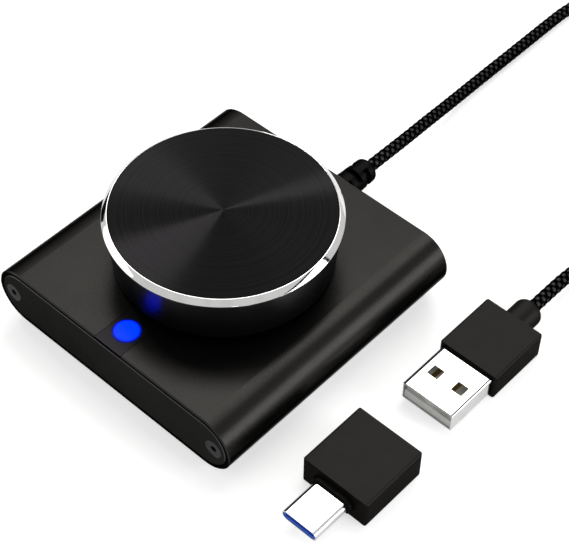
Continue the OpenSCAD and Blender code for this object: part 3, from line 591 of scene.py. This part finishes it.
def make_shell(nickel):
    """The folded sheet with its four latch windows and softened mouth."""
    low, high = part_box("usb_a_shell")
    middle = (low + high) / 2
    outer, mouth, inner = (
        shell_section((high.x - low.x) / 2, (high.z - low.z) / 2, inset)
        for inset in (0.0, MOUTH_CUT, SHELL_T)
    )
    ys = [low.y, low.y + MOUTH_CUT, low.y + WINDOW_Y[0], low.y + WINDOW_Y[1], high.y]
    sections = [mouth] + [outer] * (len(ys) - 1) + [inner] * len(ys)
    points = [(middle.x + x, y, middle.z + z)
              for section, y in zip(sections, ys + ys) for x, z in section]
    n, inward = len(outer), len(outer) * len(ys)
    faces, painted_dark_faces = [], []
    for row in range(len(ys) - 1):
        for k in range(n):
            m = (k + 1) % n
            a, b, c, d = n * row + k, n * row + m, n * (row + 1) + m, n * (row + 1) + k
            if row == WINDOW_ROW and k % (n // 2) in WINDOW_EDGES:
                faces += [(p, q, q + inward, p + inward)
                          for p, q in ((a, b), (b, c), (c, d), (d, a))]
                continue
            edge = k if k < n / 2 else k - n
            # The folds and the mouth's lip are marked for the painted dark reflection.
            if edge in FOLD_EDGES or (row == MOUTH_ROW and edge in LIP_EDGES):
                painted_dark_faces.append(len(faces))
            faces += [(a, b, c, d), (d + inward, c + inward, b + inward, a + inward)]
    last = n * (len(ys) - 1)
    for k in range(n):
        m = (k + 1) % n
        faces += [(k, m, m + inward, k + inward),
                  (last + m, last + k, last + k + inward, last + m + inward)]
    which = np.zeros(len(faces), int)
    which[painted_dark_faces] = 1
    # Painted dark reflection: the lip and fold faces get a near-black metal, which shows as dark
    # lines.
    painted_dark_reflection = metal("nickel_painted_dark_reflection", (0.02, 0.02, 0.02), 0.3, slant=0.3)
    made = add_mesh("plug_shell", points, faces, "base", [nickel, painted_dark_reflection], which)
    clean_mesh(made)
    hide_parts("usb_a_shell")
    return made


# ---------- stage ----------

FLOOR_SIDE = 6.0
FLOOR_COLOUR = (0.6, 0.6, 0.6, 1.0)
FLOOR_LIFT = 0.6
WORLD_LEVEL = 0.42


def seen_rays(tree):
    """1 for camera, glossy and transmission rays, otherwise 0."""
    path = tree.nodes.new("ShaderNodeLightPath")
    total = path.outputs["Is Camera Ray"]
    for kind in ("Is Glossy Ray", "Is Transmission Ray"):
        most = tree.nodes.new("ShaderNodeMath")
        most.operation = "MAXIMUM"
        tree.links.new(total, most.inputs[0])
        tree.links.new(path.outputs[kind], most.inputs[1])
        total = most.outputs[0]
    return total


def make_floor():
    """A pale floor that looks white and keeps the object's shadow."""
    mesh = bpy.data.meshes.new("floor")
    h = FLOOR_SIDE / 2
    mesh.from_pydata([(-h, -h, 0), (h, -h, 0), (h, h, 0), (-h, h, 0)], [], [(0, 1, 2, 3)])
    floor = bpy.data.objects.new("floor", mesh)
    bpy.context.scene.collection.objects.link(floor)
    material = bpy.data.materials.new("floor")
    material.use_nodes = True
    tree = material.node_tree
    tree.nodes.clear()
    diffuse = tree.nodes.new("ShaderNodeBsdfDiffuse")
    diffuse.inputs["Color"].default_value = FLOOR_COLOUR
    lift = tree.nodes.new("ShaderNodeEmission")
    strength = tree.nodes.new("ShaderNodeMath")
    strength.operation = "MULTIPLY"
    strength.inputs[1].default_value = FLOOR_LIFT
    tree.links.new(seen_rays(tree), strength.inputs[0])
    tree.links.new(strength.outputs[0], lift.inputs["Strength"])
    both = tree.nodes.new("ShaderNodeAddShader")
    out = tree.nodes.new("ShaderNodeOutputMaterial")
    tree.links.new(diffuse.outputs[0], both.inputs[0])
    tree.links.new(lift.outputs[0], both.inputs[1])
    tree.links.new(both.outputs[0], out.inputs["Surface"])
    mesh.materials.append(material)


def make_world():
    """A level world that lights softly and is white where it is seen."""
    world = bpy.data.worlds.new("world")
    bpy.context.scene.world = world
    world.use_nodes = True
    tree = world.node_tree
    tree.nodes.clear()
    level = tree.nodes.new("ShaderNodeMapRange")
    tree.links.new(seen_rays(tree), level.inputs["Value"])
    level.inputs["To Min"].default_value = WORLD_LEVEL
    level.inputs["To Max"].default_value = 1.0
    background = tree.nodes.new("ShaderNodeBackground")
    background.inputs["Color"].default_value = WHITE
    tree.links.new(level.outputs["Result"], background.inputs["Strength"])
    out = tree.nodes.new("ShaderNodeOutputWorld")
    tree.links.new(background.outputs[0], out.inputs["Surface"])


LIGHT_AIM = Vector((0.0, 0.0, 0.015))
SOFTBOX_AWAY = 1.0
# Each softbox: direction from the knob, width and height, radiance where 1 is white,
# and colour.
SOFTBOXES = {
    "key": ((-0.2, 0.47, 0.86), 0.9, 0.42, 4.6, (1.0, 0.985, 0.96)),
    "side": ((0.86, 0.419, 0.292), 0.7, 0.46, 6.0, (1.0, 1.0, 1.0)),
    "wedge_back": ((-0.45, 0.815, 0.36), 0.3, 0.16, 27.0, (1.0, 0.97, 0.96)),
    "wedge_left": ((-0.66, 0.1, 0.743), 0.09, 0.15, 28.0, (1.0, 1.0, 0.97)),
    "front_left": ((-0.819, -0.512, 0.259), 0.75, 0.4, 1.7, (1.0, 1.0, 1.0)),
    "front_right": ((0.785, -0.61, 0.12), 0.08, 0.16, 16.0, (1.0, 1.0, 1.0)),
    "side_low": ((0.975, 0.18, 0.1), 0.09, 0.14, 26.0, (1.0, 1.0, 1.0)),
}
SOFTBOX_BORDER = 0.06
# A low black card at the left: direction, distance, width and height.
CARD = ((-1.0, 0.0, 0.0), 0.183, 0.074, 0.03)


def aimed(name, data, toward, distance):
    """A lamp or card that faces the knob and that the camera can't see."""
    toward = Vector(toward).normalized()
    made = bpy.data.objects.new(name, data)
    made.location = LIGHT_AIM + distance * toward
    made.rotation_mode = "QUATERNION"
    made.rotation_quaternion = (-toward).to_track_quat("-Z", "Y")
    made.visible_camera = False
    bpy.context.scene.collection.objects.link(made)
    return made


def black_card(name, material, toward, distance, width, height, border=None):
    """A card, or the border round a softbox, that only reflections show."""
    x, y = width / 2, height / 2
    points = [(-x, -y, 0), (x, -y, 0), (x, y, 0), (-x, y, 0)]
    faces = [(0, 1, 2, 3)]
    if border:
        points += [(px + math.copysign(border, px), py + math.copysign(border, py), 0)
                   for px, py, _ in points]
        faces = [(i, (i + 1) % 4, (i + 1) % 4 + 4, i + 4) for i in range(4)]
    mesh = bpy.data.meshes.new(name)
    mesh.from_pydata(points, [], faces)
    mesh.materials.append(material)
    made = aimed(name, mesh, toward, distance)
    made.visible_diffuse = False
    made.visible_transmission = False
    made.visible_shadow = False


def make_lights():
    """The softboxes, and what the bright bevel reflects as dark marks."""
    for name, (toward, width, height, radiance, colour) in SOFTBOXES.items():
        data = bpy.data.lights.new(name, "AREA")
        data.shape = "RECTANGLE"
        data.size, data.size_y = width, height
        data.energy = radiance * math.pi * width * height
        data.color = colour
        aimed(name, data, toward, SOFTBOX_AWAY)
    black = Shader("black_card", (0.004, 0.004, 0.004), 0.8, specular=0.0).material
    toward, width, height = SOFTBOXES["side"][:3]
    black_card("side_border", black, toward, SOFTBOX_AWAY, width, height, SOFTBOX_BORDER)
    black_card("card_left", black, *CARD)


# ---------- finishes of the CAD nodes ----------

# Each material: colour, roughness and the nodes that have it.
PLASTICS = {
    "plug_tongue": ((0.9, 0.92, 0.87), 0.45, ["usb_a_tongue"]),
    "blue_core": ((0.03, 0.13, 0.72), 0.4, ["usb_c_core"]),
    "dark_tongue": ((0.02, 0.03, 0.08), 0.45, ["adapter_tongue"]),
    "board": ((0.01, 0.1, 0.035), 0.35, ["main_board"]),
    "led_package": ((0.8, 0.8, 0.74), 0.4, ["status_led"]),
    "chip": ((0.02, 0.02, 0.022), 0.5, ["controller_chip"]),
    "passives": ((0.3, 0.2, 0.12), 0.45, ["chip_passives"]),
    "encoder": ((0.03, 0.028, 0.026), 0.5, ["encoder_base", "encoder_body"]),
    "white_plastic": ((0.78, 0.76, 0.7), 0.4, [
        "switch_plunger", "encoder_rotor", "wire_housing", "board_socket"]),
    "hub": ((0.02, 0.02, 0.022), 0.5, ["knob_hub"]),
    "jacket": ((0.012, 0.012, 0.012), 0.55, ["inner_jacket"]),
}
METALS = {
    "gold": ((0.9, 0.63, 0.25), 0.22, ["usb_a_contacts", "adapter_contacts"]),
    "steel": ((0.62, 0.62, 0.6), 0.3, [
        "crystal_can", "encoder_bracket", "encoder_bushing", "bushing_washer",
        "bushing_nut", "encoder_pins", "encoder_shaft"]),
    "spring": ((0.7, 0.66, 0.55), 0.3, ["switch_dome", "detent_spring", "shaft_clip"]),
}


def paint(names, material):
    for name in names:
        slots = NODES[name].data.materials
        slots.clear()
        slots.append(material)


def finish_nodes(nickel):
    """Gives its material to every CAD node that no new piece stands for."""
    # The last colour of each anodised finish is its painted edge highlight.
    paint(["housing_sleeve"],
          anodised("sleeve", (0.0148, 0.0144, 0.0137), 0.3, (0.022, 0.022, 0.021)))
    paint(["front_plate", "rear_plate"],
          anodised("plate", (0.032, 0.032, 0.031), 0.4, (0.06, 0.06, 0.06)))
    paint(["front_screws", "rear_screws"], metal("screw", (0.06, 0.06, 0.06), 0.35, slant=0.45))
    paint(["base_pad"], moulded("pad", (0.012, 0.012, 0.012), 0.7, grain=3.0, depth=0.05))
    paint(["strain_relief"], black_moulding("relief", (0.0042, 0.0042, 0.0042), 0.42))
    paint(["usb_a_overmould", "adapter_housing"],
          black_moulding("moulding", (0.0112, 0.0107, 0.01), 0.5))
    paint(["adapter_socket", "usb_c_shell"], nickel)
    paint(["indicator_strip"], strip_material())
    paint(["led_lens"], lens_material())
    paint(["cord_wires"], wire_material())
    for make, table in ((moulded, PLASTICS), (metal, METALS)):
        for name, (colour, roughness, nodes) in table.items():
            paint(nodes, make(name, colour, roughness))


def anodised(name, colour, roughness, edge):
    """Bead-blasted aluminium with a black anodised skin, and a painted highlight that makes the
    bevels turned towards the front or back a little lighter.
    """
    shader = Shader(name, colour, roughness, metallic=1.0, slant=0.35)
    across = shader.math("ABSOLUTE", shader.parts(shader.direction)[1])
    # Painted highlight: where the normal leans partly along Y, on the front and back edge bevels,
    # the base colour goes up to the edge colour.
    painted_edge_highlight = shader.math("MULTIPLY", shader.span(across, 0.15, 0.4), shader.span(across, 0.97, 0.9))
    shader.tint(painted_edge_highlight, shader.mottle(0.08, 0.06), edge)
    shader.rough(shader.noise(3.0, 3.0), roughness - 0.03, roughness + 0.04)
    shader.bump(shader.noise(11.0), 0.004, 0.4)
    return shader.material


JOINT_IN, JOINT_OUT = 0.28, 0.2      # mm from the strip's edge, where its joint darkens


def strip_material():
    """Dark satin strip with a black joint along its two long sides."""
    colour = (0.012, 0.011, 0.0125)
    shader = Shader("strip", colour, 0.35, metallic=1.0, slant=0.3)
    low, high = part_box("indicator_strip")
    x = shader.parts(shader.place)[0]
    away = shader.math("ABSOLUTE", shader.math("SUBTRACT", x, (low.x + high.x) / 2 / MM))
    half = (high.x - low.x) / 2 / MM
    shader.tint(shader.span(away, half - JOINT_IN, half - JOINT_OUT), colour,
                (0.0003, 0.0003, 0.0003))
    return shader.material


WIRE_COLOURS = [(0.6, 0.02, 0.02), (0.75, 0.75, 0.75), (0.02, 0.35, 0.06), (0.02, 0.02, 0.02)]
WIRE_SCALE = 0.35                    # how fast the colours follow each other across X


def wire_material():
    """Four core colours, chosen by the place across X."""
    shader = Shader("cores", (0.5, 0.5, 0.5), 0.4)
    ramp = shader.node("ShaderNodeValToRGB")
    ramp.color_ramp.interpolation = "CONSTANT"
    stops = ramp.color_ramp.elements
    stops.remove(stops[1])
    for i, colour in enumerate(WIRE_COLOURS):
        stop = stops.new(i / len(WIRE_COLOURS)) if i else stops[0]
        stop.color = (*colour, 1.0)
    x = shader.parts(shader.place)[0]
    shader.link(shader.math("MULTIPLY_ADD", x, WIRE_SCALE, 0.5), ramp.inputs["Fac"])
    shader.link(ramp.outputs["Color"], shader.bsdf.inputs["Base Color"])
    shader.bump(shader.noise(5.0), 0.01, 0.4)
    return shader.material


LENS_BLUE = (0.0, 0.006, 1.0)
LENS_RIM = (0.0, 0.0005, 0.022)
LENS_GLOW = 7.5


def lens_material():
    """A lit blue lens, darker at its rim."""
    shader = Shader("lens", (0.0, 0.02, 0.5), 0.35, specular=0.05)
    low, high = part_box("led_lens")
    middle = (low + high) / 2 / MM
    rim = (high.x - low.x) / 2 / MM
    radius = shader.radius(middle.x, middle.y)
    glow = shader.tint(shader.span(radius, rim * 0.76, rim * 0.9), LENS_BLUE, LENS_RIM)
    shader.link(glow, shader.bsdf.inputs["Emission Color"])
    shader.set("Emission Strength", LENS_GLOW)
    shader.tint(shader.span(radius, rim * 0.8, rim), (0.0, 0.01, 0.2), (0.0, 0.005, 0.1))
    return shader.material


# ---------- knob's side ----------

KNOB_LOW_R = 0.02175
KNOB_WALL = 0.0022
KNOB_WEB = 0.0016
FOOT_CHAMFER = 0.0004
CUP_CHAMFER = 0.0003
PLAIN_LOW, PLAIN_HIGH = 0.0006, 0.0003      # plain bands under and over the knurl
KNURL_PITCH = 0.00045
KNURL_DEPTH = 0.00003


def make_knob_side(material):
    """The shell with its fine diamond knurl as real relief."""
    low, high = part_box("knob_shell")
    top_r, z0, z1 = high.x, low.z, high.z
    cup_r = KNOB_LOW_R - KNOB_WALL
    web, foot = z1 - KNOB_WEB, z0 + FOOT_CHAMFER
    knurl_low, knurl_high = z0 + PLAIN_LOW, z1 - PLAIN_HIGH
    sides = 4 * round(math.pi * top_r / KNURL_PITCH)
    count = round(2 * (knurl_high - knurl_low) / KNURL_PITCH)
    outline = [(0, z1), (0, web), (cup_r, web), (cup_r, z0 + CUP_CHAMFER),
               (cup_r + CUP_CHAMFER, z0), (KNOB_LOW_R - FOOT_CHAMFER, z0), (KNOB_LOW_R, foot)]
    first = len(outline)
    for i in range(count + 1):
        z = knurl_low + (knurl_high - knurl_low) * i / count
        outline.append((KNOB_LOW_R + (top_r - KNOB_LOW_R) * (z - foot) / (z1 - foot), z))
    outline.append((top_r, z1))

    def knurl(row, column):
        return KNURL_DEPTH * ((row + column) % 2) if first < row < first + count else 0

    made = turned("knob_side", outline, sides, "dial", [material], dent=knurl)
    wall_r = (cup_r + KNOB_LOW_R) / 2
    faces = made.data.polygons
    knurled = [knurl_low < f.center.z < knurl_high and f.center.xy.length > wall_r
               for f in faces]
    faces.foreach_set("use_smooth", [not flat for flat in knurled])
    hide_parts("knob_shell")


# Painted reflection on the knob's side: it grows lighter from the first height to the second.
SIDE_DIM_REFLECTION_Z, SIDE_BRIGHT_REFLECTION_Z = 15.0, 24.0      # mm: the heights of its darkest and lightest


def side_material():
    """Black metal, with a painted reflection that makes it lighter towards its top and darker
    towards its foot.
    """
    shader = Shader("knob_side", (0.08, 0.08, 0.082), 0.3, metallic=1.0, slant=0.3)
    shader.rough(shader.noise(2.0, 3.0), 0.28, 0.33)
    height = shader.parts(shader.place)[2]
    # Painted reflection: the metal's base colour rises with height.
    shader.tint(shader.span(height, SIDE_DIM_REFLECTION_Z, SIDE_BRIGHT_REFLECTION_Z),
                (0.045, 0.045, 0.046), (0.08, 0.08, 0.082))
    return shader.material


# ---------- knob's top ----------

RING_BEVEL = 0.001
RING_EDGE = 0.0005
RING_CHAMFER = 0.00015
RING_BRIGHT = 0.00012       # how far the bright cut goes down the ring's side
LIP = 0.00012               # flat bright edge inside the bevel
FACE_DROP = 0.00008
FACE_RINGS = 40
BEVEL_ROUND = 0.00012
BEVEL_SHARE = 0.4           # share of the rounding that lies past the bevel's edge
BEVEL_STEPS = 4
TOP_SIDES = 384
GROOVES_PER_MM = 2.8
GROOVE_SLOPE = 0.3          # slope of the grooves' walls, which face the knob's axis


def make_knob_top(side):
    """The cap: a spun black face inside a bright cut bevel."""
    low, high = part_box("knob_cap")
    ring_r, z0, face_z = high.x, low.z, high.z
    ring_z, face_r = z0 + RING_EDGE, ring_r - RING_BEVEL
    face_low = face_z - FACE_DROP
    inner_r = face_r - LIP - FACE_DROP
    slant = math.pi / 2 - math.atan2(face_z - ring_z, RING_BEVEL)

    def rounding(middle_r, middle_z, start, end):
        angles = (start + (end - start) * k / BEVEL_STEPS for k in range(BEVEL_STEPS + 1))
        return [(middle_r + BEVEL_ROUND * math.cos(a), middle_z + BEVEL_ROUND * math.sin(a))
                for a in angles]

    short = BEVEL_SHARE * BEVEL_ROUND
    edges = (rounding(ring_r - BEVEL_ROUND, ring_z - short, 0.0, slant)
             + rounding(face_r - short, face_z - BEVEL_ROUND, slant, math.pi / 2))
    outline = [(0, z0), (ring_r - RING_CHAMFER, z0), (ring_r, z0 + RING_CHAMFER),
               (ring_r, ring_z - RING_BRIGHT), *edges, (face_r - LIP, face_z)]
    outline += [(inner_r * (1 - i / FACE_RINGS), face_low) for i in range(FACE_RINGS + 1)]
    materials = [
        spun_material(),
        metal("bevel", (0.54, 0.54, 0.535), 0.06, depth=0.001),
        moulded("groove", (0.005, 0.005, 0.005), 0.5),
        side,
    ]
    face, bevel, groove, band = range(len(materials))
    which = ([face, band, band] + [bevel] * (1 + len(edges)) + [groove]
             + [face] * (FACE_RINGS + 1))
    made = turned("knob_top", outline, TOP_SIDES, "dial", materials, which)
    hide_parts("knob_cap")


def spun_material():
    """Turned black metal: fine circular grooves that draw the light into wedges."""
    shader = Shader("spun", (0.008, 0.0078, 0.0082), 0.4, metallic=1.0, slant=0.45)
    shader.set("Anisotropic", 1.0)
    shader.set("Anisotropic Rotation", 0.25)
    tangent = shader.node("ShaderNodeTangent", direction_type="RADIAL", axis="Z")
    shader.link(tangent.outputs[0], shader.bsdf.inputs["Tangent"])
    radius = shader.radius()
    grooves = shader.node("ShaderNodeTexNoise", noise_dimensions="1D")
    grooves.inputs["Scale"].default_value = GROOVES_PER_MM
    grooves.inputs["Detail"].default_value = 4.0
    shader.link(radius, grooves.inputs["W"])
    depth = grooves.outputs["Fac"]
    shader.tint(shader.span(depth, NOISE_LOW, NOISE_HIGH),
                (0.0063, 0.0061, 0.0065), (0.0096, 0.0094, 0.0098))
    shader.rough(depth, 0.28, 0.33)
    shader.bump(shader.math("MULTIPLY", radius, GROOVE_SLOPE), 1.0)
    return shader.material


# ---------- build ----------

make_camera()
make_floor()
make_world()
make_lights()
nickel = metal("nickel", (0.52, 0.52, 0.522), 0.08, depth=0.001)
finish_nodes(nickel)
make_cord(make_straps(), make_shell(nickel))
side = side_material()
make_knob_side(side)
make_knob_top(side)

bpy.context.scene.view_settings.view_transform = "Standard"
